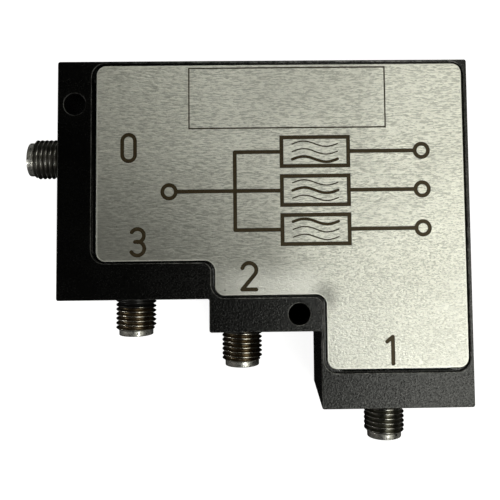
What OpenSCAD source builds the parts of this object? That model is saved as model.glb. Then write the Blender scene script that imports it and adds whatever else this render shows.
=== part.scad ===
/* [Housing] */
// Overall width of the milled housing, left to right
body_w = 61.5; // [60.5:0.1:66]
// Overall height of the housing, down to the end of the long leg
body_h = 51.7; // [50:0.1:58]
// Thickness of the housing, back to front
body_t = 16.5; // [15:0.1:19.5]
// Width of the left block, which carries port 3
step_1_x = 22.5; // [22:0.1:23.2]
// Height of the left block
step_1_h = 35.5; // [35:0.1:36]
// Where the long leg starts, from the left side
step_2_x = 38.95; // [38.6:0.05:39.6]
// Height of the middle block, which carries port 2
step_2_h = 40.4; // [40:0.05:41.5]
// Radius on the outer upright edges
edge_r = 0.35; // [0.2:0.05:0.6]

/* [Mounting holes] */
// Diameter of the two through holes, clearance for M3
hole_d = 3.2; // [2.8:0.1:3.4]
// Left hole, distance from the left side
hole_a_x = 2.55; // [2.35:0.05:2.6]
// Left hole, distance below the top side
hole_a_y = 6.4; // [4:0.1:9]
// Middle hole, distance from the left side
hole_b_x = 35.8; // [32:0.05:36.2]
// Middle hole, distance below the top side
hole_b_y = 37.85; // [37.75:0.05:38]

/* [Jacks] */
// Length of a jack that stands out of the housing
jack_len = 6.35; // [6:0.05:7.5]
// Major diameter of the 1/4-36 coupling thread
thread_d = 6.24; // [6.19:0.01:6.32]
// Diameter of the plain rim in front of the thread
rim_d = 5.3; // [5.2:0.05:5.4]
// Length of the plain rim
rim_len = 0.8; // [0.5:0.05:1.2]
// Common port, distance of its axis below the top side
port_0_y = 14.2; // [13.6:0.1:14.4]
// Port 1, distance of its axis from the left side
port_1_x = 49.3; // [49:0.1:50]
// Port 2, distance of its axis from the left side
port_2_x = 27.1; // [26.8:0.05:27.4]
// Port 3, distance of its axis from the left side
port_3_x = 10.45; // [10:0.05:10.6]

/* [Nameplate] */
// Thickness of the nameplate
plate_t = 0.45; // [0.4:0.05:0.5]
// How far the nameplate sits turned in its recess, in degrees
plate_turn = 0.1; // [0:0.05:0.4]
// Depth of the recess that holds the nameplate
recess_depth = 0.56; // [0.56:0.02:0.7]
// Depth of the engraved marks
mark_depth = 0.12; // [0.08:0.02:0.2]
// Width of the engraved strokes
mark_w = 0.58; // [0.4:0.02:0.6]

/* [Filter channels] */
// Width of the milled channels
channel_w = 6; // [5:0.1:6]
// Depth of a channel above and below the board
channel_d = 1.4; // [1:0.1:1.5]
// Thickness of the board
board_t = 0.254; // [0.127:0.127:0.381]

/* [Hidden] */
$fn = 64;

// The drawing runs from the housing's top left corner, x to the right and
// y up, and is moved so that the origin is under the middle of the whole part.
ox = -(body_w - jack_len) / 2;
oy = (body_h + jack_len) / 2;

wall_c = 5.6;      // wall that carries a jack
wall_p = 2.2;      // plain wall
rim_p = 0.33;      // rim of the recess along a plain wall
rim_r = 0.5;       // the same along the right side
axis_z = body_t / 2;
foil_t = 0.035;
strip_top = axis_z - 0.1;              // the jack's tab lies on this level
board_top = strip_top - foil_t;
board_bottom = board_top - board_t;
recess_z = body_t - recess_depth;
film_t = 0.06;
cover_gap = 0.05;

thread_l = 4;                          // thread inside the wall
thread_pitch_r = 2.95;                 // engaged thread, drawn at its pitch radius
insulator_r = 2.06;
mouth_r = 2.3;
mouth_l = 1.94;
contact_r = 0.635;

black = [0.07, 0.07, 0.07];
plate_grey = [0.72, 0.72, 0.68];
steel = [0.55, 0.54, 0.50];
gold = [0.83, 0.66, 0.28];
white = [0.93, 0.93, 0.90];

// Stepped outline: left, top, right, then the three feet and the two
// uprights between them
function steps(l, t, r, f3, u2, f2, u1, f1) = [
    [l, t], [r, t], [r, f1], [u1, f1], [u1, f2], [u2, f2], [u2, f3], [l, f3]];

outer = steps(0, 0, body_w, -step_1_h, step_1_x, -step_2_h, step_2_x, -body_h);
recess = steps(5.1, -rim_p, body_w - rim_r, -step_1_h + 5.4,
    step_1_x + 0.33, -step_2_h + 5.05, step_2_x + rim_p + 0.07, -body_h + 5.18);
pocket = steps(wall_c, -wall_p, body_w - wall_p, -step_1_h + wall_c,
    step_1_x + wall_p, -step_2_h + wall_c, step_2_x + wall_p, -body_h + wall_c);
plate = steps(5.81, -0.65, body_w - 0.78, -step_1_h + 5.66,
    step_1_x + 0.83, -step_2_h + 5.4, step_2_x + 0.83, -body_h + 5.74);

// Which way the material lies from each corner, and whether it is an inner corner
corner_way = [[1, -1], [-1, -1], [-1, 1], [1, 1], [-1, -1], [1, 1], [-1, -1], [1, 1]];
corner_in = [false, false, false, false, true, false, true, false];

// What a round of radius r takes off a corner whose material lies towards "to"
module spandrel(p, to, r) {
    translate(p) difference() {
        translate([to[0] > 0 ? -0.1 : -r, to[1] > 0 ? -0.1 : -r]) square([r + 0.1, r + 0.1]);
        translate([to[0] * r, to[1] * r]) circle(r = r);
    }
}

// Stepped outline with ro on the outer corners and ri on the inner ones:
// a rectangle less the stepped notch at its lower left
module outline(pts, ro, ri) {
    difference() {
        polygon([pts[0], pts[1], pts[2], [pts[0][0], pts[2][1]]]);
        difference() {
            polygon([[pts[0][0] - 1, pts[6][1]], pts[6], pts[5], pts[4],
                [pts[3][0], pts[3][1] - 1], [pts[0][0] - 1, pts[3][1] - 1]]);
            spandrel(pts[4], [-1, -1], ri);
            spandrel(pts[6], [-1, -1], ri);
        }
        for (i = [0 : 7]) if (!corner_in[i]) spandrel(pts[i], corner_way[i], ro);
    }
}

module inset(pts, d) {
    // the same outline, drawn d smaller all round
    outline([for (i = [0 : 7]) pts[i] + d * (corner_in[i] ? -corner_way[i] : corner_way[i])],
        max(1.5 - d, 0.3), 1 + d);
}

module place() { translate([ox, oy, 0]) children(); }

// ---- filter channels ------------------------------------------------------
turn_x = 19;       // junction of the three branches
loop_x = 38.5;     // far side of the middle branch
run_1_y = -6.2;    // upper run of the long branch
run_2_y = -24.5;   // return run of the middle branch
foot_3 = -step_1_h + wall_c;
foot_2 = -step_2_h + wall_c;
foot_1 = -body_h + wall_c;

// A channel between two points on one of the axes
module lane(a, b, w) {
    lo = [min(a[0], b[0]), min(a[1], b[1])];
    hi = [max(a[0], b[0]), max(a[1], b[1])];
    translate(lo - [w / 2, w / 2]) square(hi - lo + [w, w]);
}

module channels(z0, z1) {
    w = channel_w;
    intersection() {
        translate([0, 0, z0]) linear_extrude(z1 - z0) union() {
            lane([wall_c, -port_0_y], [turn_x, -port_0_y], w);
            lane([port_3_x, -port_0_y], [port_3_x, foot_3], w);
            lane([turn_x, -port_0_y], [loop_x, -port_0_y], w);
            lane([loop_x, -port_0_y], [loop_x, run_2_y], w);
            lane([loop_x, run_2_y], [port_2_x, run_2_y], w);
            lane([port_2_x, run_2_y], [port_2_x, foot_2], w);
            lane([turn_x, -port_0_y], [turn_x, run_1_y], w);
            lane([turn_x, run_1_y], [port_1_x, run_1_y], w);
            lane([port_1_x, run_1_y], [port_1_x, foot_1], w);
        }
        translate([0, 0, z0 - 1]) linear_extrude(z1 - z0 + 2) polygon(pocket);
    }
}

screw_at = [
    [8.2, -5.6], [56, -5.4], [56, -19.2], [56, -32.5], [56, -43.2],
    [43.9, -43.2], [44, -31.2], [44, -14], [34.8, -31.6],
    [18.6, -27.4], [18.6, -20.4], [29.5, -19.3]];
head_d = 3.8;
head_h = 1.0;
screw_l = 12;

// ---- housing --------------------------------------------------------------
module jack_place(n) {
    if (n == 0) translate([0, -port_0_y, axis_z]) rotate([0, 0, -90]) rotate([90, 0, 0]) children();
    if (n == 1) translate([port_1_x, -body_h, axis_z]) rotate([90, 0, 0]) children();
    if (n == 2) translate([port_2_x, -step_2_h, axis_z]) rotate([90, 0, 0]) children();
    if (n == 3) translate([port_3_x, -step_1_h, axis_z]) rotate([90, 0, 0]) children();
}

module housing() {
    color(black) place() difference() {
        linear_extrude(body_t) outline(outer, edge_r, 0.25);
        // recess for the nameplate
        translate([0, 0, recess_z]) linear_extrude(2) outline(recess, 2, 1.4);
        // pocket for the board and the cover
        translate([0, 0, board_bottom]) linear_extrude(body_t) outline(pocket, 1.5, 1);
        // lower half of the filter channels
        channels(board_bottom - channel_d, board_bottom + 0.5);
        // tapped holes for the cover screws
        for (p = screw_at) translate([p[0], p[1], recess_z - 0.1 - screw_l - 0.6])
            cylinder(h = screw_l, r = 0.87);
        // wall holes of the jacks
        for (n = [0 : 3]) jack_place(n) {
            translate([0, 0, -thread_l]) cylinder(h = thread_l + 1, r = thread_pitch_r);
            translate([0, 0, -wall_c - 0.5]) cylinder(h = wall_c, r = insulator_r);
        }
        // mounting holes
        translate([hole_a_x, -hole_a_y, -1]) cylinder(h = body_t + 2, d = hole_d);
        translate([hole_b_x, -hole_b_y, -1]) cylinder(h = body_t + 2, d = hole_d);
    }
}

// ---- cover, board and conductors -----------------------------------------
module channel_cover() {
    color([0.70, 0.71, 0.72]) place() difference() {
        translate([0, 0, board_top]) linear_extrude(recess_z - board_top) inset(pocket, cover_gap);
        channels(board_top - 0.5, board_top + channel_d);
        for (p = screw_at) translate([p[0], p[1], 0]) {
            translate([0, 0, board_top - 1]) cylinder(h = body_t, r = 1.1);
            translate([0, 0, recess_z - 0.1 - head_h]) cylinder(h = head_h, r1 = 1.1, r2 = head_d / 2 + 0.1);
            translate([0, 0, recess_z - 0.1]) cylinder(h = 1, r = head_d / 2 + 0.1);
        }
    }
}

module cover_screw() {
    difference() {
        union() {
            translate([0, 0, -head_h]) cylinder(h = head_h, r1 = 0.95, r2 = head_d / 2);
            translate([0, 0, board_bottom - recess_z + 0.1]) cylinder(h = recess_z - 0.1 - board_bottom - 0.5, r = 0.95);
            translate([0, 0, -screw_l]) cylinder(h = screw_l - 1, r = 0.87);
        }
        // hexagon socket
        translate([0, 0, -0.7]) cylinder(h = 1, d = 1.5, $fn = 6);
    }
}

module cover_screws() {
    color(steel) place() for (p = screw_at) translate([p[0], p[1], recess_z - 0.1]) cover_screw();
}

module filter_board() {
    color([0.90, 0.87, 0.78]) place() difference() {
        translate([0, 0, board_bottom]) linear_extrude(board_t) inset(pocket, 0.1);
        for (p = screw_at) translate([p[0], p[1], 0]) cylinder(h = body_t, r = 1.1);
    }
}

// One strip, its middle line from a to b
module strip(a, b, w, z) {
    lo = [min(a[0], b[0]), min(a[1], b[1])];
    hi = [max(a[0], b[0]), max(a[1], b[1])];
    along_x = hi[0] - lo[0] > hi[1] - lo[1];
    translate([lo[0] - (along_x ? 0 : w / 2), lo[1] - (along_x ? w / 2 : 0), z])
        cube([hi[0] - lo[0] + (along_x ? 0 : w), hi[1] - lo[1] + (along_x ? w : 0), foil_t]);
}

line_w = 2.6;
module top_conductors() {
    z = board_top;
    color(gold) place() {
        // common line and the junction, the long branch as steps of wide and narrow line
        union() {
            strip([wall_c + 0.3, -port_0_y], [turn_x + 1.3, -port_0_y], line_w, z);
            strip([turn_x, -port_0_y], [turn_x, run_1_y - 1.3], line_w, z);
            strip([turn_x - 0.3, run_1_y], [port_1_x + 0.3, run_1_y], 0.6, z);
            for (i = [0 : 6]) strip([21.6 + i * 3.9, run_1_y], [23.6 + i * 3.9, run_1_y], 4.4, z);
            strip([turn_x, run_1_y - 1.5], [turn_x, run_1_y + 0.3], 0.6, z);
            strip([port_1_x, run_1_y + 0.3], [port_1_x, foot_1 + 3], 0.6, z);
            for (i = [0 : 7]) strip([port_1_x, -10.6 - i * 4], [port_1_x, -12.8 - i * 4], 4.4, z);
            strip([port_1_x, foot_1 + 3.2], [port_1_x, foot_1 + 0.3], line_w, z);
        }
        // middle branch: every second resonator lies on this side
        for (i = [0 : 1]) strip([24.6 + i * 6.2, -port_0_y], [28.6 + i * 6.2, -port_0_y], 1.6, z);
        strip([loop_x, -port_0_y - 2.4], [loop_x, -port_0_y - 7.4], 1.6, z);
        strip([35.4, run_2_y], [31.4, run_2_y], 1.6, z);
        strip([port_2_x, -26.2], [port_2_x, -29.2], 1.6, z);
        strip([port_2_x, foot_2 + 3.6], [port_2_x, foot_2 + 0.3], line_w, z);
        // short branch: upper plates of the series capacitors
        for (i = [0 : 2]) strip([port_3_x, -17.8 - i * 3.2], [port_3_x, -19.8 - i * 3.2], 2.8, z);
        strip([port_3_x, foot_3 + 2.6], [port_3_x, foot_3 + 0.3], line_w, z);
    }
}

module bottom_conductors() {
    z = board_bottom - foil_t;
    color(gold) place() {
        for (i = [0 : 1]) strip([21.4 + i * 6.2, -port_0_y], [25.6 + i * 6.2, -port_0_y], 1.6, z);
        strip([33.8, -port_0_y], [37.6, -port_0_y], 1.6, z);
        strip([loop_x, -port_0_y - 6.4], [loop_x, -port_0_y - 9.8], 1.6, z);
        strip([37, run_2_y], [34.4, run_2_y], 1.6, z);
        strip([32.4, run_2_y], [28.4, run_2_y], 1.6, z);
        strip([port_2_x, -28.2], [port_2_x, -32.8], 1.6, z);
        for (i = [0 : 3]) strip([port_3_x, -16 - i * 3.2], [port_3_x, -18.4 - i * 3.2], 2.8, z);
    }
}

// ---- jacks ----------------------------------------------------------------
// Along +z is out of the wall, and z = 0 is the wall's face
module jack_shell() {
    tr = thread_d / 2;
    rr = rim_d / 2;
    l = jack_len;
    rotate_extrude() polygon([
        [insulator_r, -thread_l], [thread_pitch_r, -thread_l], [thread_pitch_r, 0], [tr, 0],
        [tr, l - rim_len - 0.35], [rr, l - rim_len], [rr, l - 0.12], [rr - 0.12, l],
        [mouth_r + 0.1, l], [mouth_r, l - 0.1], [mouth_r, l - mouth_l], [insulator_r, l - mouth_l]]);
}

module jack_insulator() {
    l = jack_len;
    rotate_extrude() polygon([
        [contact_r, -wall_c], [insulator_r, -wall_c], [insulator_r, l - mouth_l], [contact_r, l - mouth_l]]);
}

module jack_contact() {
    l = jack_len - mouth_l - 0.08;
    difference() {
        union() {
            rotate_extrude() polygon([
                [0, -wall_c], [contact_r, -wall_c], [contact_r, l - 0.12], [contact_r - 0.12, l], [0, l]]);
            // flat tab on the strip
            translate([-0.3, -0.1, -wall_c - 1.6]) cube([0.6, 0.2, 1.8]);
        }
        // socket and its slots
        translate([0, 0, l - 3]) cylinder(h = 4, r = 0.47);
        translate([-1, -0.08, l - 2.2]) cube([2, 0.16, 3]);
        translate([-0.08, -1, l - 2.2]) cube([0.16, 2, 3]);
    }
}

module common_jack_shell() { color(steel) place() jack_place(0) jack_shell(); }
module common_jack_insulator() { color(white) place() jack_place(0) jack_insulator(); }
module common_jack_contact() { color(gold) place() jack_place(0) jack_contact(); }
module port_1_jack_shell() { color(steel) place() jack_place(1) jack_shell(); }
module port_1_jack_insulator() { color(white) place() jack_place(1) jack_insulator(); }
module port_1_jack_contact() { color(gold) place() jack_place(1) jack_contact(); }
module port_2_jack_shell() { color(steel) place() jack_place(2) jack_shell(); }
module port_2_jack_insulator() { color(white) place() jack_place(2) jack_insulator(); }
module port_2_jack_contact() { color(gold) place() jack_place(2) jack_contact(); }
module port_3_jack_shell() { color(steel) place() jack_place(3) jack_shell(); }
module port_3_jack_insulator() { color(white) place() jack_place(3) jack_insulator(); }
module port_3_jack_contact() { color(gold) place() jack_place(3) jack_contact(); }

// ---- nameplate ------------------------------------------------------------
// The plate lies slightly turned, about its own middle
plate_mid = [body_w / 2 + 2.3, -23];
module turned() { translate(plate_mid) rotate([0, 0, plate_turn]) translate(-plate_mid) children(); }

// Outline of a pen stroke with round ends along a row of points
function way(a, b) = (b - a) / norm(b - a);
function left(v) = [-v[1], v[0]];
function side(p, i, w) = let(n = len(p))
    i == 0 ? left(way(p[0], p[1])) * w / 2 :
    i == n - 1 ? left(way(p[n - 2], p[n - 1])) * w / 2 :
    let(a = left(way(p[i - 1], p[i])), b = left(way(p[i], p[i + 1])), m = (a + b) / norm(a + b))
    m * (w / 2) / (m * a);
function round_end(c, d, w) = [for (k = [1 : 5]) let(t = 90 - 30 * k) c + (d * cos(t) + left(d) * sin(t)) * w / 2];
function pen(p, w) = let(n = len(p)) concat(
    [for (i = [0 : n - 1]) p[i] + side(p, i, w)],
    round_end(p[n - 1], way(p[n - 2], p[n - 1]), w),
    [for (i = [n - 1 : -1 : 0]) p[i] - side(p, i, w)],
    round_end(p[0], way(p[1], p[0]), w));
function arc(c, r, a, b, n) = [for (i = [0 : n]) let(t = a + (b - a) * i / n) c + r * [cos(t), sin(t)]];

// Two half circles of radius r with their middles h apart
function stadium(r, h) = concat(arc([0, h / 2], r, 0, 180, 12), arc([0, -h / 2], r, 180, 360, 12));

module digit_0(w) {
    difference() {
        polygon(stadium(0.95 + w / 2, 2.05));
        polygon(stadium(0.95 - w / 2, 2.05));
    }
}
module digit_1(w) {
    polygon(pen([[0.1, 1.95], [0.1, -1.95]], w));
    polygon(pen([[0.1, 1.95], [-0.75, 1.25]], w));
}
module digit_2(w) {
    polygon(pen(concat(arc([0, 0.9], 1.05, 165, -38, 12), [[-1.05, -1.95]]), w));
    polygon(pen([[-1.05, -1.95], [1.05, -1.95]], w));
}
module digit_3(w) {
    polygon(pen(arc([0, 0.98], 0.97, 150, -90, 14), w));
    polygon(pen(arc([0, -0.92], 1.03, 110, -150, 14), w));
}

// A plain frame of line width w
module frame(x0, y0, x1, y1, w) {
    difference() {
        translate([x0 - w / 2, y0 - w / 2]) square([x1 - x0 + w, y1 - y0 + w]);
        translate([x0 + w / 2, y0 + w / 2]) square([x1 - x0 - w, y1 - y0 - w]);
    }
}

// The block diagram of a three-way splitter: one line in, three filters, three lines out
row_y = [-13.8, -19.6, -25.4];
module ring(c, r, w) {
    translate(c) difference() { circle(r = r + w / 2); circle(r = r - w / 2); }
}
module wave(x0, x1, y, w) {
    polygon(pen([for (i = [0 : 16]) [x0 + (x1 - x0) * i / 16, y + 0.42 * sin(360 * i / 16)]], w));
}
module diagram(w) {
    // stem with a branch to each row
    polygon(pen([[17.6, row_y[1]], [33.4, row_y[1]]], w));
    polygon(pen([[26.4, row_y[0]], [26.4, row_y[2]]], w));
    polygon(pen([[26.4, row_y[0]], [33.4, row_y[0]]], w));
    polygon(pen([[26.4, row_y[2]], [33.4, row_y[2]]], w));
    ring([16.6, row_y[1]], 1, w);
    for (k = [0 : 2]) {
        frame(33.4, row_y[k] - 2.15, 43.4, row_y[k] + 2.15, w);
        polygon(pen([[43.4, row_y[k]], [53.4, row_y[k]]], w));
        ring([54.4, row_y[k]], 1, w);
        // one wave in the lowest, middle or highest place for each pass band
        for (j = [-1 : 1]) wave(35, 41.8, row_y[k] + 1.15 * j, j == k - 1 ? 0.42 : 0.18);
    }
}

module marks() {
    translate([10.6, -13]) digit_0(mark_w);
    translate([49.4, -43.3]) digit_1(mark_w);
    translate([28.4, -32.2]) digit_2(mark_w);
    translate([11.9, -27]) digit_3(mark_w);
    frame(19.6, -10.2, 49.05, -1.1, 0.2);
    diagram(mark_w);
}

module nameplate() {
    z = recess_z + film_t;
    color(plate_grey) place() turned() difference() {
        translate([0, 0, z]) linear_extrude(plate_t) outline(plate, 1.4, 1.6);
        translate([0, 0, z + plate_t - mark_depth]) linear_extrude(1) marks();
    }
}

module nameplate_adhesive() {
    color([0.85, 0.82, 0.70]) place() turned()
        translate([0, 0, recess_z]) linear_extrude(film_t)
            outline([for (i = [0 : 7]) plate[i] + 0.25 * (corner_in[i] ? -corner_way[i] : corner_way[i])], 1.2, 1.8);
}

housing();
channel_cover();
cover_screws();
filter_board();
top_conductors();
bottom_conductors();
nameplate();
nameplate_adhesive();
common_jack_shell();
common_jack_insulator();
common_jack_contact();
port_1_jack_shell();
port_1_jack_insulator();
port_1_jack_contact();
port_2_jack_shell();
port_2_jack_insulator();
port_2_jack_contact();
port_3_jack_shell();
port_3_jack_insulator();
port_3_jack_contact();
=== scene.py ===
import math
import bmesh
import bpy
from mathutils import Matrix, Vector, geometry


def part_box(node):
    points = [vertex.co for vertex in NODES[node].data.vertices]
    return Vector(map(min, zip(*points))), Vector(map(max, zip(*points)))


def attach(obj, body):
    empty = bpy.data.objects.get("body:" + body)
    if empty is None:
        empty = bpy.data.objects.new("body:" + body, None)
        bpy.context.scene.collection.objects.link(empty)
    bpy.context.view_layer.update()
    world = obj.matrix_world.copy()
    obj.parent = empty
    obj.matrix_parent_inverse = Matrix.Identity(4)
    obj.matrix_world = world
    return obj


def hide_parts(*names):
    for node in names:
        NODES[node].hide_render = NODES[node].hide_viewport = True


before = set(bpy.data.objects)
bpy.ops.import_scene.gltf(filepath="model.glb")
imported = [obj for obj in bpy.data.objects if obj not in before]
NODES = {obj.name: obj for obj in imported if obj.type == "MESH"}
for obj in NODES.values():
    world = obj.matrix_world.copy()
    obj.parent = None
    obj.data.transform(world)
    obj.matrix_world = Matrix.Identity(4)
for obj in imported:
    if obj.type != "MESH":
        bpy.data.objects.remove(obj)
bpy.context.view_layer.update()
scene = bpy.context.scene
MM = 0.001

# ---------------------------------------------------------------- camera
# Fitted to the block's corners and to the jacks' silhouettes and rims.
cam_data = bpy.data.cameras.new("camera")
cam = bpy.data.objects.new("camera", cam_data)
scene.collection.objects.link(cam)
rx, ry, rz = -0.06485, 0.0192, 0.00885
r_x = Matrix(((1, 0, 0), (0, math.cos(rx), -math.sin(rx)), (0, math.sin(rx), math.cos(rx))))
r_y = Matrix(((math.cos(ry), 0, math.sin(ry)), (0, 1, 0), (-math.sin(ry), 0, math.cos(ry))))
r_z = Matrix(((math.cos(rz), -math.sin(rz), 0), (math.sin(rz), math.cos(rz), 0), (0, 0, 1)))
turn = (r_z @ r_y @ r_x).transposed().to_4x4()
cam.matrix_world = Matrix.Translation(Vector((2.4857, 7.7598, 125.5413)) * MM) @ turn
cam_data.sensor_fit = "HORIZONTAL"
cam_data.sensor_width = 36.0
cam_data.lens = 52.6371
cam_data.shift_x = -0.046595
cam_data.shift_y = -0.191305
cam_data.clip_start = 0.001
cam_data.clip_end = 20.0
scene.camera = cam


# ---------------------------------------------------------------- node helpers
class Mat:
    """A material with its node tree and short ways to add nodes."""

    def __init__(self, name, **constants):
        self.m = bpy.data.materials.new(name)
        self.m.use_nodes = True
        self.t = self.m.node_tree
        self.t.nodes.clear()
        self.out = self.t.nodes.new("ShaderNodeOutputMaterial")
        self.b = self.t.nodes.new("ShaderNodeBsdfPrincipled")
        self.t.links.new(self.b.outputs[0], self.out.inputs[0])
        for k, v in constants.items():
            self.b.inputs[k.replace("_", " ")].default_value = v
        self.coord = self.t.nodes.new("ShaderNodeTexCoord").outputs["Object"]

    def node(self, kind, **props):
        n = self.t.nodes.new(kind)
        for k, v in props.items():
            setattr(n, k, v)
        return n

    def link(self, a, b):
        self.t.links.new(a, b)

    def mapping(self, scale=(1, 1, 1), rotation=(0, 0, 0), location=(0, 0, 0), source=None):
        """Coordinates in millimetres, then scaled."""
        n = self.node("ShaderNodeMapping")
        n.inputs["Scale"].default_value = [s / MM for s in scale]
        n.inputs["Rotation"].default_value = rotation
        n.inputs["Location"].default_value = location
        self.link(source or self.coord, n.inputs["Vector"])
        return n.outputs[0]

    def noise(self, vec, scale=1.0, detail=2.0, rough=0.5, distortion=0.0):
        n = self.node("ShaderNodeTexNoise")
        n.inputs["Scale"].default_value = scale
        n.inputs["Detail"].default_value = detail
        n.inputs["Roughness"].default_value = rough
        n.inputs["Distortion"].default_value = distortion
        self.link(vec, n.inputs["Vector"])
        return n.outputs["Fac"]

    def voronoi(self, vec, scale=1.0, feature="F1", out="Distance"):
        n = self.node("ShaderNodeTexVoronoi", feature=feature)
        n.inputs["Scale"].default_value = scale
        self.link(vec, n.inputs["Vector"])
        return n.outputs[out]

    def ramp(self, fac, stops, interpolation="LINEAR"):
        """stops: (position, grey or colour)"""
        n = self.node("ShaderNodeValToRGB")
        n.color_ramp.interpolation = interpolation
        e = n.color_ramp.elements
        while len(e) < len(stops):
            e.new(0.5)
        for k, (p, c) in enumerate(stops):
            e[k].position = p
            e[k].color = (c, c, c, 1) if isinstance(c, (int, float)) else (*c, 1)
        self.link(fac, n.inputs["Fac"])
        return n.outputs["Color"]

    def remap(self, value, a, b, c, d):
        n = self.node("ShaderNodeMapRange")
        for i, v in enumerate((a, b, c, d)):
            n.inputs[i + 1].default_value = v
        self.link(value, n.inputs[0])
        return n.outputs[0]

    def math(self, op, a, b=None, clamp=False):
        n = self.node("ShaderNodeMath", operation=op, use_clamp=clamp)
        for i, v in enumerate((a, b)):
            if v is None:
                continue
            if isinstance(v, (int, float)):
                n.inputs[i].default_value = v
            else:
                self.link(v, n.inputs[i])
        return n.outputs[0]

    def mix(self, fac, a, b, blend="MIX"):
        n = self.node("ShaderNodeMix", data_type="RGBA", blend_type=blend)
        for sock, v in ((n.inputs["Factor"], fac), (n.inputs[6], a), (n.inputs[7], b)):
            if isinstance(v, (int, float)):
                sock.default_value = v
            elif isinstance(v, (tuple, list)):
                sock.default_value = (*v, 1) if len(v) == 3 else v
            else:
                self.link(v, sock)
        return n.outputs[2]

    def bump(self, height, strength, distance_mm, normal=None):
        n = self.node("ShaderNodeBump")
        n.inputs["Strength"].default_value = strength
        n.inputs["Distance"].default_value = distance_mm * MM
        self.link(height, n.inputs["Height"])
        if normal is not None:
            self.link(normal, n.inputs["Normal"])
        return n.outputs[0]

    def set(self, socket, value):
        self.link(value, self.b.inputs[socket])

    def split(self, source=None):
        n = self.node("ShaderNodeSeparateXYZ")
        self.link(source or self.coord, n.inputs[0])
        return n.outputs


# ---------------------------------------------------------------- materials
def black_paint():
    m = Mat("black_paint", Metallic=0.0, IOR=1.5, Specular_IOR_Level=0.85)
    p = m.mapping()
    cloud = m.noise(p, 0.16, 3)
    grain = m.noise(p, 3.1, 2, 0.55)
    fine = m.noise(p, 5.4, 2, 0.5)
    mixed = m.mix(0.5, grain, fine)
    x, y, z = m.split()
    base = m.mix(m.remap(cloud, 0.3, 0.7, 0, 1), (0.0006, 0.0006, 0.0006), (0.0014, 0.0014, 0.0013))
    m.set("Base Color", base)
    # the speckle: a fine dry texture that catches the light in specks
    speckle_and_shade = m.remap(mixed, 0.38, 0.62, 0.25, 0.95)
    # less gloss to the left, set to the observed tones: partly the paint's own finish and partly painted shade
    # where less light falls
    speckle_and_shade = m.math("MULTIPLY", speckle_and_shade, m.remap(x, -0.024, -0.002, 0.28, 1.0))
    m.set("Specular Tint", m.mix(speckle_and_shade, (0.0, 0.0, 0.0), (1.0, 1.0, 0.97)))
    m.set("Roughness", m.remap(m.mix(0.4, mixed, cloud), 0.3, 0.7, 0.21, 0.31))
    n1 = m.bump(mixed, 1.0, 0.05)
    m.set("Normal", m.bump(m.noise(p, 0.7, 2), 0.5, 0.04, n1))
    return m.m


def worn_edge():
    """Paint worn thin along an arris, with the grey metal showing through in places."""
    m = Mat("worn_edge", Metallic=1.0)
    p = m.mapping()
    rub = m.noise(p, 0.55, 4, 0.6)
    chip = m.noise(p, 2.8, 3, 0.6)
    wear_and_shade = m.math("MULTIPLY", m.remap(rub, 0.35, 0.65, 0.15, 1.0), m.remap(chip, 0.35, 0.62, 0.2, 1.0), clamp=True)
    x, y, z = m.split()
    # less bare metal to the left: painted shade where less light falls
    wear_and_shade = m.math("MULTIPLY", wear_and_shade, m.remap(x, -0.02, 0.004, 0.25, 1.0))
    m.set("Base Color", m.mix(wear_and_shade, (0.02, 0.02, 0.019), (0.42, 0.42, 0.40)))
    m.set("Roughness", m.remap(chip, 0.3, 0.7, 0.36, 0.52))
    m.set("Normal", m.bump(chip, 0.4, 0.04))
    return m.m


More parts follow.
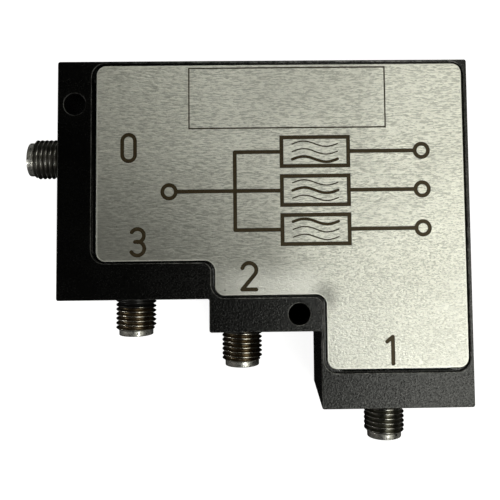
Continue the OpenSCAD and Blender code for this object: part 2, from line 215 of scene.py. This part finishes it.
def brushed_plate():
    m = Mat("brushed_plate", Metallic=1.0, Anisotropic=0.63)
    p = m.mapping()
    # grain along x, with a slow wave so that the lines aren't ruled
    warp = m.noise(p, 0.12, 2)
    wave = m.node("ShaderNodeVectorMath", operation="MULTIPLY_ADD")
    m.link(warp, wave.inputs[0])
    wave.inputs[1].default_value = (0, 0.9, 0)
    m.link(p, wave.inputs[2])
    w = wave.outputs[0]

    def stretched(scale, turn=0.0, shift=0.0):
        n = m.node("ShaderNodeMapping")
        n.inputs["Scale"].default_value = scale
        n.inputs["Rotation"].default_value = (0, 0, turn)
        n.inputs["Location"].default_value = (shift, shift, 0)
        m.link(w, n.inputs["Vector"])
        return n.outputs[0]

    long = m.noise(stretched((1.2, 6.0, 1.0), 0.03), 1.0, 3, 0.6, 0.3)
    short = m.noise(stretched((2.7, 5.8, 1.0), 0.45, 7.0), 1.0, 2, 0.6, 0.4)
    # below the middle the strokes are shorter and cross each other
    x, y, z = m.split()
    lower = m.remap(m.math("SUBTRACT", y, m.math("MULTIPLY", x, 0.5)), -0.016, -0.002, 0.75, 0.15)
    grain = m.mix(lower, long, short)
    # the brush marks stand out more to the right and in the leg, where more light falls: partly deeper marks and
    # partly painted highlight
    deep = m.remap(m.math("ADD", x, m.math("MULTIPLY", y, 0.5)), -0.018, 0.024, 0.9, 3.0)
    grain = m.math("ADD", m.math("MULTIPLY", m.math("SUBTRACT", grain, 0.483), deep), 0.5, clamp=True)
    cloud = m.noise(p, 0.09, 3)
    tone = m.mix(m.remap(grain, 0.34, 0.66, 0, 1), (0.54, 0.545, 0.485), (1.0, 1.0, 0.905))
    tone = m.mix(m.remap(cloud, 0.3, 0.7, 0.0, 0.2), tone, (0.78, 0.79, 0.74))
    # duller and brighter areas, set to the observed tones: partly the sheet's own tone and partly painted shade
    # where less light falls
    left = m.remap(m.math("ADD", x, m.math("MULTIPLY", y, 0.12)), 0.004, 0.0105, 1.0, 0.0)
    dull_and_shade = m.math("MULTIPLY", left, m.remap(y, 0.003, 0.016, 0.46, 0.09))
    tone = m.mix(dull_and_shade, tone, (0.25, 0.25, 0.23))
    over = m.math("MULTIPLY", m.remap(x, 0.0175, 0.0225, 0.25, 0.0), m.remap(x, -0.002, 0.004, 0.0, 1.0))
    tone = m.mix(m.math("MULTIPLY", over, m.remap(y, 0.008, 0.024, 0.2, 1.0)), tone, (0.25, 0.25, 0.23))

    def away(cx, cy):
        dx, dy = m.math("SUBTRACT", x, cx), m.math("SUBTRACT", y, cy)
        return m.math("SQRT", m.math("ADD", m.math("MULTIPLY", dx, dx), m.math("MULTIPLY", dy, dy)))

    # painted highlight along the lower edge and around the inside corner, with a darker patch beside it
    lower_edge_highlight = m.math("MULTIPLY", m.remap(y, -0.0012, -0.0042, 0.0, 0.9), m.remap(x, 0.0095, 0.0125, 1.0, 0.0))
    tone = m.mix(m.math("MULTIPLY", lower_edge_highlight, m.remap(x, -0.005, 0.0, 0.3, 1.0)), tone, (1.0, 1.0, 0.93))
    tone = m.mix(m.remap(away(0.0105, -0.0110), 0.003, 0.009, 0.42, 0.0), tone, (1.0, 1.0, 0.93))
    tone = m.mix(m.remap(away(0.0120, -0.0063), 0.0006, 0.0027, 0.6, 0.0), tone, (0.22, 0.22, 0.20))
    # painted highlight, brighter toward the leg's far corner
    tone = m.mix(m.remap(m.math("SUBTRACT", m.math("MULTIPLY", x, 0.8), y), 0.022, 0.042, 0.0, 0.5), tone, (1.0, 1.0, 0.93))
    # a few pits
    pit = m.ramp(m.noise(p, 2.0, 1, 0.3), [(0.0, 1.0), (0.19, 1.0), (0.215, 0.0)])
    tone = m.mix(m.math("MULTIPLY", pit, 0.5), tone, (0.16, 0.15, 0.12))
    m.set("Base Color", tone)
    m.set("Roughness", m.remap(grain, 0.36, 0.64, 0.385, 0.45))
    m.set("Normal", m.bump(grain, 0.8, 0.05))
    t = m.node("ShaderNodeCombineXYZ")
    t.inputs[1].default_value = 1.0
    m.link(t.outputs[0], m.b.inputs["Tangent"])
    return m.m


def plate_edge():
    """The sheared edge's lip: bare metal, brighter than the sheet as a painted highlight."""
    m = Mat("plate_edge", Metallic=1.0)
    p = m.mapping()
    g = m.noise(p, 1.6, 3, 0.6)
    m.set("Base Color", m.mix(m.remap(g, 0.35, 0.65, 0, 1), (0.86, 0.86, 0.78), (0.97, 0.97, 0.90)))
    m.set("Roughness", m.remap(g, 0.3, 0.7, 0.40, 0.48))
    m.set("Normal", m.bump(g, 0.2, 0.02))
    return m.m


def enamel():
    m = Mat("mark_enamel", Metallic=0.0, IOR=1.5)
    m.b.inputs["Specular Tint"].default_value = (1.0, 0.85, 0.6, 1.0)
    p = m.mapping()
    n = m.noise(p, 3.0, 3)
    m.set("Base Color", m.mix(m.remap(n, 0.35, 0.65, 0, 1), (0.024, 0.016, 0.007), (0.042, 0.031, 0.015)))
    m.set("Roughness", m.remap(n, 0.3, 0.7, 0.34, 0.5))
    m.set("Normal", m.bump(m.noise(p, 9.0, 2), 0.25, 0.02))
    return m.m


def jack_steel(name, axis, low, high, rough):
    """Turned, passivated stainless steel; axis is 0 or 1, the jack's own direction."""
    m = Mat(name, Metallic=1.0)
    p = m.mapping()
    scale = [0.35, 0.35, 0.35]
    scale[axis] = 9.0
    n = m.node("ShaderNodeMapping")
    n.inputs["Scale"].default_value = scale
    m.link(p, n.inputs["Vector"])
    lathe = m.noise(n.outputs[0], 1.0, 3, 0.6)
    cloud = m.noise(p, 0.9, 3)
    spots = m.noise(p, 2.8, 3, 0.6)
    tone = m.mix(m.remap(cloud, 0.3, 0.7, 0, 1), low, high)
    stain = m.ramp(spots, [(0.0, 0.0), (0.50, 0.0), (0.66, 1.0)])
    tone = m.mix(m.math("MULTIPLY", stain, 0.6), tone, tuple(0.35 * v for v in low))
    m.set("Base Color", tone)
    m.set("Roughness", m.remap(m.mix(0.5, lathe, spots), 0.3, 0.7, rough - 0.1, rough + 0.1))
    n1 = m.bump(lathe, 0.15, 0.02)
    m.set("Normal", m.bump(spots, 0.1, 0.03, n1))
    return m.m


def jack_rim():
    """The plain rim: matt, blackened in patches, with bright worn specks."""
    m = Mat("jack_rim", Metallic=1.0)
    p = m.mapping()
    cloud = m.noise(p, 0.8, 3, 0.6)
    speck = m.noise(p, 2.8, 3, 0.65)
    tone = m.mix(m.remap(cloud, 0.35, 0.65, 0, 1), (0.44, 0.435, 0.40), (0.80, 0.795, 0.75))
    bright = m.ramp(speck, [(0.0, 0.0), (0.52, 0.0), (0.64, 1.0)])
    tone = m.mix(m.math("MULTIPLY", bright, 0.8), tone, (0.92, 0.92, 0.88))
    dark = m.ramp(speck, [(0.0, 1.0), (0.36, 1.0), (0.46, 0.0)])
    tone = m.mix(m.math("MULTIPLY", dark, 0.6), tone, (0.08, 0.075, 0.06))
    m.set("Base Color", tone)
    m.set("Roughness", m.remap(m.mix(0.7, cloud, speck), 0.42, 0.62, 0.56, 0.18))
    m.set("Normal", m.bump(speck, 0.5, 0.05))
    return m.m


def jack_paint():
    """Black paint that ran onto a jack's first threads."""
    m = Mat("jack_paint", Metallic=0.0, IOR=1.5)
    p = m.mapping()
    g = m.noise(p, 4.0, 3)
    m.set("Base Color", m.mix(m.remap(g, 0.3, 0.7, 0, 1), (0.005, 0.005, 0.005), (0.012, 0.012, 0.011)))
    m.set("Roughness", m.remap(g, 0.3, 0.7, 0.25, 0.42))
    m.set("Normal", m.bump(g, 0.3, 0.06))
    return m.m


def milled(name, low, high, rough, step):
    """Bright milled metal with cutter marks that curve across it."""
    m = Mat(name, Metallic=1.0)
    p = m.mapping()
    n = m.node("ShaderNodeTexWave", wave_type="RINGS", rings_direction="SPHERICAL")
    n.inputs["Scale"].default_value = step
    n.inputs["Distortion"].default_value = 0.6
    n.inputs["Detail"].default_value = 2
    m.link(p, n.inputs["Vector"])
    arcs = n.outputs["Fac"]
    cloud = m.noise(p, 0.4, 3)
    m.set("Base Color", m.mix(m.remap(cloud, 0.3, 0.7, 0, 1), low, high))
    m.set("Roughness", m.remap(m.mix(0.5, arcs, cloud), 0.2, 0.8, rough - 0.06, rough + 0.08))
    m.set("Normal", m.bump(arcs, 0.15, 0.01))
    return m.m


def gold():
    m = Mat("gold_plate", Metallic=1.0)
    p = m.mapping()
    g = m.noise(p, 2.5, 4, 0.6)
    m.set("Base Color", m.mix(m.remap(g, 0.3, 0.7, 0, 1), (0.82, 0.60, 0.24), (0.95, 0.74, 0.36)))
    m.set("Roughness", m.remap(g, 0.3, 0.7, 0.2, 0.34))
    m.set("Normal", m.bump(m.noise(p, 7.0, 2), 0.1, 0.01))
    return m.m


def plastic(name, low, high, rough, grain):
    m = Mat(name, Metallic=0.0, IOR=1.38)
    p = m.mapping()
    g = m.noise(p, grain, 4, 0.6)
    c = m.noise(p, 0.5, 2)
    m.set("Base Color", m.mix(m.remap(m.mix(0.5, g, c), 0.35, 0.65, 0, 1), low, high))
    m.set("Roughness", m.remap(g, 0.3, 0.7, rough - 0.08, rough + 0.08))
    m.set("Normal", m.bump(g, 0.2, 0.02))
    return m.m


M_PAINT = black_paint()
M_PLATE = brushed_plate()
M_ENAMEL = enamel()
# The four jacks are the same steel. J0's copy is darker: painted shade. The warmer jack_steel_y and jack_flank_y
# carry a painted brown reflection. The flank copies are darker than the crests: painted shade in the thread
# grooves.
M_STEEL_X = jack_steel("jack_steel_x", 0, (0.46, 0.45, 0.41), (0.62, 0.61, 0.57), 0.22)
M_STEEL_Y = jack_steel("jack_steel_y", 1, (0.54, 0.50, 0.42), (0.70, 0.68, 0.62), 0.22)
M_FLANK_X = jack_steel("jack_flank_x", 0, (0.20, 0.195, 0.175), (0.36, 0.355, 0.33), 0.36)
M_FLANK_Y = jack_steel("jack_flank_y", 1, (0.17, 0.13, 0.08), (0.36, 0.31, 0.23), 0.30)
M_STEEL_Y1 = jack_steel("jack_steel_y1", 1, (0.50, 0.49, 0.45), (0.68, 0.67, 0.63), 0.22)
M_FLANK_Y1 = jack_steel("jack_flank_y1", 1, (0.17, 0.165, 0.135), (0.36, 0.355, 0.31), 0.34)
M_JACK_PAINT = jack_paint()
M_JACK_RIM = jack_rim()
M_WORN = worn_edge()
M_PLATE_EDGE = plate_edge()
M_COVER = milled("cover_alloy", (0.68, 0.69, 0.70), (0.80, 0.81, 0.82), 0.34, 1.6)
M_SCREW = milled("screw_steel", (0.50, 0.49, 0.47), (0.62, 0.61, 0.59), 0.3, 5.0)
M_GOLD = gold()
M_BOARD = plastic("board_laminate", (0.72, 0.66, 0.50), (0.84, 0.79, 0.64), 0.6, 4.0)
M_FILM = plastic("adhesive_film", (0.66, 0.62, 0.50), (0.76, 0.73, 0.62), 0.55, 2.0)
M_PTFE = plastic("fluoropolymer", (0.80, 0.79, 0.75), (0.90, 0.89, 0.86), 0.45, 1.5)


# ---------------------------------------------------------------- meshes
def merged(node, dist=2e-7):
    """The CAD node's vertices and faces in metres, with split vertices merged."""
    bm = bmesh.new()
    bm.from_mesh(NODES[node].data)
    bmesh.ops.remove_doubles(bm, verts=bm.verts, dist=dist)
    bmesh.ops.dissolve_degenerate(bm, edges=bm.edges, dist=1e-8)
    return bm


def round_rims(bm, z0, up, radius, segments=3, strip=None, lip=None):
    """Rounds every convex edge between the flat face at z0 and the walls that meet it.
    up is +1 or -1, the way that face looks. radius(x, y) is in metres, 0 leaves an edge sharp.
    strip is the rounded faces' material index. lip(x, y) is None, or the width and height of
    a low burr inside the rim, whose faces take the index after strip."""
    eps = 2e-6
    face_set = set(
        f for f in bm.faces
        if f.normal.z * up > 0.999 and all(abs(v.co.z - z0) < eps for v in f.verts))
    rim = [e for e in bm.edges
           if len(e.link_faces) == 2 and (e.link_faces[0] in face_set) != (e.link_faces[1] in face_set)]
    inward = {}
    for e in rim:
        f = e.link_faces[0] if e.link_faces[0] in face_set else e.link_faces[1]
        other = e.link_faces[1] if f is e.link_faces[0] else e.link_faces[0]
        # convex only: the wall goes to the back of the face
        mid = (e.verts[0].co + e.verts[1].co) / 2
        if (other.calc_center_median() - mid).z * up > 1e-7:
            continue
        d = e.verts[1].co - e.verts[0].co
        n = Vector((-d.y, d.x, 0)).normalized()
        if n.dot(f.calc_center_median() - mid) < 0:
            n = -n
        for v in e.verts:
            inward.setdefault(v, []).append((n, e))
    rows = {}
    for v, found in inward.items():
        r = radius(v.co.x, v.co.y)
        if r <= 0 or len(found) != 2:
            continue
        n1, n2 = found[0][0], found[1][0]
        s = 1 + n1.dot(n2)
        if s < 0.3:
            continue
        rows[v] = ((n1 + n2) / s, r)
    edges = [e for e in rim if e.verts[0] in rows and e.verts[1] in rows]
    used = set(v for e in edges for v in e.verts)
    # new vertices: from the wall (k = 0, the old vertex lowered) to the flat face (k = segments)
    ring = {}
    for v in used:
        d, r = rows[v]
        base = v.co.copy()
        chain = [v]
        for k in range(1, segments + 1):
            t = math.pi / 2 * k / segments
            p = base + d * (r * (1 - math.cos(t))) - Vector((0, 0, up * r * (1 - math.sin(t))))
            chain.append(bm.verts.new(p))
        burr = lip(base.x, base.y) if lip else None
        if burr:
            chain[-1].co.z += up * burr[1]
            chain.append(bm.verts.new(base + d * (r + burr[0])))
        ring[v] = chain
    # flat faces take the last vertex of each chain
    for f in list(face_set):
        if any(v in ring for v in f.verts):
            verts = [ring[v][-1] if v in ring else v for v in f.verts]
            mat, smooth = f.material_index, f.smooth
            bm.faces.remove(f)
            g = bm.faces.new(verts)
            g.material_index, g.smooth = mat, smooth
    for e in edges:
        if not e.is_valid:
            continue
        a, b = e.verts
        wall = e.link_faces[0] if e.link_faces else None
        mat = wall.material_index if wall else 0
        # the wall runs a -> b or b -> a along this edge; the strip runs the other way
        flip = False
        if wall:
            loop = [lp for lp in wall.loops if lp.edge is e][0]
            flip = loop.vert is a
        for k in range(min(len(ring[a]), len(ring[b])) - 1):
            quad = [ring[a][k], ring[b][k], ring[b][k + 1], ring[a][k + 1]]
            if flip:
                quad.reverse()
            g = bm.faces.new(quad)
            g.material_index = mat if strip is None else strip + (k >= segments)
    for v in used:
        v.co.z -= up * rows[v][1]
    bm.normal_update()
    return len(edges)


def make_piece(name, bm, materials, smooth_angle=35.0, flat=False):
    me = bpy.data.meshes.new(name)
    bm.to_mesh(me)
    bm.free()
    for m in materials:
        me.materials.append(m)
    for p in me.polygons:
        p.use_smooth = True
    me.set_sharp_from_angle(angle=math.radians(smooth_angle))
    if flat:
        # large flat faces keep their exact normals up to the rounded rims
        level = set(p.index for p in me.polygons if abs(p.normal.z) > 0.9995)
        planes = {}
        for p in me.polygons:
            k = max((0, 1), key=lambda i: abs(p.normal[i]))
            if abs(p.normal[k]) > 0.99995:
                planes.setdefault((k, p.normal[k] > 0, round(p.center[k] / (0.01 * MM))), []).append(p)
        for wall in planes.values():
            if sum(p.area for p in wall) > 8 * MM * MM:
                level.update(p.index for p in wall)
        faces_of = {}
        for p in me.polygons:
            for k in p.edge_keys:
                faces_of.setdefault(k, []).append(p.index)
        for e in me.edges:
            found = faces_of.get(e.key, [])
            if len(found) == 2 and (found[0] in level) != (found[1] in level):
                e.use_edge_sharp = True
    o = bpy.data.objects.new(name, me)
    scene.collection.objects.link(o)
    w = o.modifiers.new("normals", "WEIGHTED_NORMAL")
    w.keep_sharp = True
    w.weight = 100
    return o


# housing: the milled block, with its arrises rounded and worn
bm = merged("housing")
lo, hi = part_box("housing")
TOP = hi.z
front_rims = round_rims(bm, TOP, 1, lambda x, y: 0.13 * MM, 4, strip=1)
back_rims = round_rims(bm, lo.z, -1, lambda x, y: 0.13 * MM)
print("rounded rims", front_rims, back_rims)
housing = make_piece("housing_block", bm, [M_PAINT, M_WORN], flat=True)
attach(housing, "root")
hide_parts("housing")


def mark_boxes(bm, z0):
    """Boxes round the engraved marks: the connected groups of faces that lie below the sheet's top."""
    left = set(f for f in bm.faces if f.material_index == 1)
    boxes = []
    while left:
        group, todo = [], [left.pop()]
        while todo:
            f = todo.pop()
            group.append(f)
            for e in f.edges:
                for g in e.link_faces:
                    if g in left:
                        left.discard(g)
                        todo.append(g)
        xs = [v.co.x for f in group for v in f.verts]
        ys = [v.co.y for f in group for v in f.verts]
        boxes.append((min(xs), min(ys), max(xs), max(ys)))
    return boxes


# nameplate: brushed sheet, its engraved marks filled with dark enamel
bm = merged("nameplate")
lo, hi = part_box("nameplate")
PLATE_TOP = hi.z
for f in bm.faces:
    c = f.calc_center_median()
    deep = c.z < PLATE_TOP - 1e-5 and c.z > PLATE_TOP - 0.13 * MM
    if deep and (abs(f.normal.z) > 0.9 or min(v.co.z for v in f.verts) > PLATE_TOP - 0.125 * MM):
        f.material_index = 1


def on_outline(x, y):
    """True near the sheet's own outline, False at the marks."""
    return not any(l - 0.3 * MM < x < r + 0.3 * MM and b - 0.3 * MM < y < t + 0.3 * MM for l, b, r, t in MARKS)


MARKS = mark_boxes(bm, PLATE_TOP)
plate_rims = round_rims(bm, PLATE_TOP, 1, lambda x, y: (0.07 if on_outline(x, y) else 0.015) * MM, 2,
                        strip=2, lip=lambda x, y: (0.13 * MM, 0.010 * MM) if on_outline(x, y) else None)
for f in bm.faces:
    if f.material_index == 2 and not on_outline(*f.calc_center_median()[:2]):
        f.material_index = 0
print("plate rims", plate_rims)
plate = make_piece("nameplate_sheet", bm, [M_PLATE, M_ENAMEL, M_PLATE, M_PLATE_EDGE], flat=True)
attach(plate, "root")
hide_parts("nameplate")

# ---------------------------------------------------------------- jack shells
PITCH = 0.7056
CREST = 3.12
ROOT = 2.64
RIM = 2.65
LEN = 6.35
NECK_IN = -4.0          # the shell's inner end, inside the wall
THREAD_IN = 2.95


def smooth(t):
    t = min(1.0, max(0.0, t))
    return t * t * (3 - 2 * t)


# half a turn of the profile: distance from the crest's middle in pitches, and height
HALF = [(0.0, 1.0), (0.05, 0.997), (0.075, 0.98), (0.1, 0.935), (0.135, 0.85), (0.25, 0.57), (0.36, 0.29), (0.45, 0.065), (0.478, 0.015), (0.5, 0.0)]
CUTS = [0.5 - d for d, h in reversed(HALF)] + [0.5 + d for d, h in HALF[1:-1]]


def thread_radius(u, angle, phase):
    """Radius of the threaded barrel at distance u from the wall."""
    d = abs((u / PITCH - angle / (2 * math.pi) + phase) % 1.0 - 0.5)
    for (d0, h0), (d1, h1) in zip(HALF, HALF[1:]):
        if d <= d1 + 1e-9:
            h = h0 + (h1 - h0) * (d - d0) / (d1 - d0)
            break
    r = ROOT + (CREST - ROOT) * h
    # the blank's cone at the thread's end, then the plain rim
    cone = CREST - (u - 5.22) * 1.35
    if u > 5.22:
        r = min(r, max(cone, RIM))
    if u > 5.45:
        r = r + (RIM - r) * smooth((u - 5.45) / 0.1)
    return max(r, ROOT)


def shell(name, node, origin, axis, phase, material, flank, paint_to):
    """A jack's shell: helical thread, plain rim, mouth and bore, as one closed solid.
    The mesh rows follow the helix. Black paint covers the first threads, to about paint_to mm
    from the wall."""
    a = Vector(axis)

    def paint_edge(t):
        return paint_to - 0.25 * math.sin(t) + 0.07 * math.sin(2 * t + 0.6) + 0.05 * math.sin(5 * t + 1.1)

    e2 = Vector((0, 0, 1))
    e1 = a.cross(e2)                # e1, e2, a is a right-handed set
    count = 96
    end = 5.6
    head = [(NECK_IN, 2.06), (NECK_IN, THREAD_IN), (0.0, THREAD_IN)]
    tail = [(LEN - 0.10, RIM), (LEN - 0.03, RIM - 0.03), (LEN, RIM - 0.10),
            (LEN, 2.4), (LEN - 0.03, 2.33), (LEN - 0.1, 2.3), (LEN - 1.94, 2.3), (LEN - 1.94, 2.06)]
    # the crest lies where u / PITCH - angle / 2 pi + phase is a whole number and a half
    steps_u = [(turn + c - phase) * PITCH for turn in range(-2, 10) for c in CUTS]
    bm = bmesh.new()
    o = Vector(origin)
    grid = []
    for j in range(count + 1):
        t = 2 * math.pi * j / count
        column = [(u, r, False) for u, r in head]
        for u in steps_u:
            u = min(end, max(0.0, u + PITCH * j / count))
            rad = thread_radius(u, t, phase)
            # paint lies thick in the first turn and thinly beyond it
            rad = rad + (max(rad, 3.05) - rad) * smooth((1.15 - u) / 0.4) * 0.8
            rad = min(CREST, rad + 0.02 * smooth((paint_edge(t) - u) / 0.08))
            column.append((u, rad, True))
        column += [(u, r, False) for u, r in tail]
        out = e1 * math.cos(t) + e2 * math.sin(t)
        grid.append([(bm.verts.new((o + a * u + out * r) * MM), u, outer) for u, r, outer in column])
    n = len(grid[0])
    for j in range(count):
        edge = paint_edge(2 * math.pi * (j + 0.5) / count)
        for i in range(n):
            i2 = (i + 1) % n
            quad = (grid[j][i], grid[j + 1][i], grid[j + 1][i2], grid[j][i2])
            f = bm.faces.new([q[0] for q in quad])
            at = sum(q[1] for q in quad) / 4
            if quad[0][2] and at < edge:
                f.material_index = 1
            elif at > 5.42 and i < n - 1:
                f.material_index = 2
            elif quad[0][2] and quad[3][2] and at > 0.01:
                mid = abs((at - PITCH * (j + 0.5) / count + phase * PITCH) / PITCH % 1.0 - 0.5)
                f.material_index = 0 if mid < 0.12 else 3
    bmesh.ops.remove_doubles(bm, verts=bm.verts, dist=4e-7)
    bmesh.ops.recalc_face_normals(bm, faces=bm.faces)
    ob = make_piece(name, bm, [material, M_JACK_PAINT, M_JACK_RIM, flank], 62.0)
    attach(ob, "root")
    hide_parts(node)
    return ob


H = 8.25
shell("common_shell", "common_jack_shell", (-27.575, 14.825, H), (-1, 0, 0), 0.15, M_STEEL_X, M_FLANK_X, 1.2)
shell("port_1_shell", "port_1_jack_shell", (21.725, -22.675, H), (0, -1, 0), 0.40, M_STEEL_Y1, M_FLANK_Y1, 1.45)
shell("port_2_shell", "port_2_jack_shell", (-0.475, -11.375, H), (0, -1, 0), 0.08, M_STEEL_Y, M_FLANK_Y, 1.3)
shell("port_3_shell", "port_3_jack_shell", (-17.125, -6.475, H), (0, -1, 0), 0.20, M_STEEL_Y, M_FLANK_Y, 2.2)

# ---------------------------------------------------------------- carried-over nodes
for name, ob in NODES.items():
    if name.endswith("insulator"):
        mat = M_PTFE
    elif name.endswith("contact") or name.endswith("conductors"):
        mat = M_GOLD
    else:
        mat = {"channel_cover": M_COVER, "cover_screws": M_SCREW, "filter_board": M_BOARD,
               "nameplate_adhesive": M_FILM, "housing": M_PAINT, "nameplate": M_PLATE}.get(name, M_STEEL_Y)
    if not ob.data.materials:
        ob.data.materials.append(mat)
    for k in range(len(ob.data.materials)):
        ob.data.materials[k] = mat

# ---------------------------------------------------------------- floor, backdrop and lights
def stage_material(name, diffuse, glow):
    m = bpy.data.materials.new(name)
    m.use_nodes = True
    b = m.node_tree.nodes["Principled BSDF"]
    b.inputs["Base Color"].default_value = (diffuse, diffuse, diffuse, 1)
    b.inputs["Roughness"].default_value = 0.9
    b.inputs["Specular IOR Level"].default_value = 0.0
    b.inputs["Emission Color"].default_value = (1, 1, 1, 1)
    b.inputs["Emission Strength"].default_value = glow
    return m


def disc(name, radius, z, mat, parts=96):
    bm = bmesh.new()
    vs = [bm.verts.new((radius * math.cos(2 * math.pi * k / parts), radius * math.sin(2 * math.pi * k / parts), z)) for k in range(parts)]
    bm.faces.new(vs)
    me = bpy.data.meshes.new(name)
    bm.to_mesh(me)
    bm.free()
    me.materials.append(mat)
    o = bpy.data.objects.new(name, me)
    scene.collection.objects.link(o)
    return o


floor = disc("floor", 2.5, -0.0002, stage_material("floor_white", 0.5, 0.93))
floor.visible_glossy = False
floor.visible_diffuse = False
floor.visible_shadow = False
# the floor right under the block, where no light comes
shade = disc("floor_shade", 0.0034, -0.0001, stage_material("floor_shade", 0.02, 0.0), 48)
shade.location = (0.008225, -0.008825, 0.0)
bm = bmesh.new()
bmesh.ops.create_uvsphere(bm, u_segments=48, v_segments=24, radius=2.45)
me = bpy.data.meshes.new("backdrop")
bm.to_mesh(me)
bm.free()
me.materials.append(stage_material("backdrop_white", 0.0, 0.97))
dome = bpy.data.objects.new("backdrop", me)
scene.collection.objects.link(dome)
dome.visible_glossy = False
dome.visible_diffuse = False
dome.visible_shadow = False
dome.visible_transmission = False


def panel(name, at, size, radiance, colour=(1, 1, 1)):
    """A soft rectangular light that faces the origin, its first side level with the row's x.
    at is in mm, size in mm. Radiance is what a mirror would show."""
    d = bpy.data.lights.new(name, "AREA")
    d.shape = "RECTANGLE"
    d.size, d.size_y = size[0] * MM, size[1] * MM
    d.energy = radiance * math.pi * d.size * d.size_y
    d.color = colour
    o = bpy.data.objects.new(name, d)
    scene.collection.objects.link(o)
    at = Vector(at)
    way = -at.normalized()
    side = Vector((0, 1, 0)).cross(way).normalized()
    if side.x < 0:
        side = -side
    up = (-way).cross(side)
    turn = Matrix((side, up, -way)).transposed().to_4x4()
    o.matrix_world = Matrix.Translation(at * MM) @ turn
    return o


panel("window", (75, -55, 207), (17, 110), 2.9, (0.97, 1.0, 0.97))
panel("wall", (-400, 0, 200), (340, 900), 0.11, (1.0, 0.92, 0.84))
panel("right_main", (150, -75, 350), (75, 225), 2.7, (1.0, 1.0, 0.93))
panel("right_front", (75, -150, 350), (75, 225), 1.45, (0.985, 1.0, 0.96))
panel("right_low", (150, -262, 350), (75, 150), 3.5, (1.0, 1.0, 0.93))
panel("right_far", (262, 0, 350), (150, 825), 1.08, (1.0, 0.99, 0.86))
panel("right_mid", (75, 37, 350), (75, 150), 0.36, (1.0, 1.0, 0.93))
panel("right_back", (150, 150, 350), (75, 225), 0.44, (1.0, 1.0, 0.93))
panel("back_left", (-75, 262, 350), (75, 150), 2.5, (1.0, 1.0, 0.91))
panel("back_mid", (-37, 225, 350), (150, 75), 1.75, (1.0, 1.0, 0.93))
panel("back_right", (112, 337, 350), (150, 150), 1.15, (1.0, 1.0, 0.93))
panel("left_low", (-74, -3, 38), (27, 7), 11.0, (1.0, 1.0, 0.95))
panel("left_near", (-63, -36, 120), (12, 14), 2.0, (1.0, 1.0, 0.95))
# light that the surroundings send back up from the floor's level, for the sides
panel("under_back", (0, 300, -105), (560, 170), 0.22, (1.0, 1.0, 0.95))
panel("under_front", (0, -300, -105), (560, 170), 0.10, (1.0, 1.0, 0.95))
panel("under_left", (-300, 0, -105), (170, 560), 0.11, (1.0, 0.97, 0.92))
panel("under_right", (300, 0, -105), (170, 560), 0.18, (1.0, 1.0, 0.95))

world = bpy.data.worlds.new("studio")
scene.world = world
world.use_nodes = True
bg = world.node_tree.nodes["Background"]
bg.inputs[0].default_value = (0.006, 0.006, 0.0057, 1)
bg.inputs[1].default_value = 1.0

scene.view_settings.view_transform = "Standard"
scene.view_settings.look = "None"
scene.view_settings.exposure = 0.0
scene.view_settings.gamma = 1.0
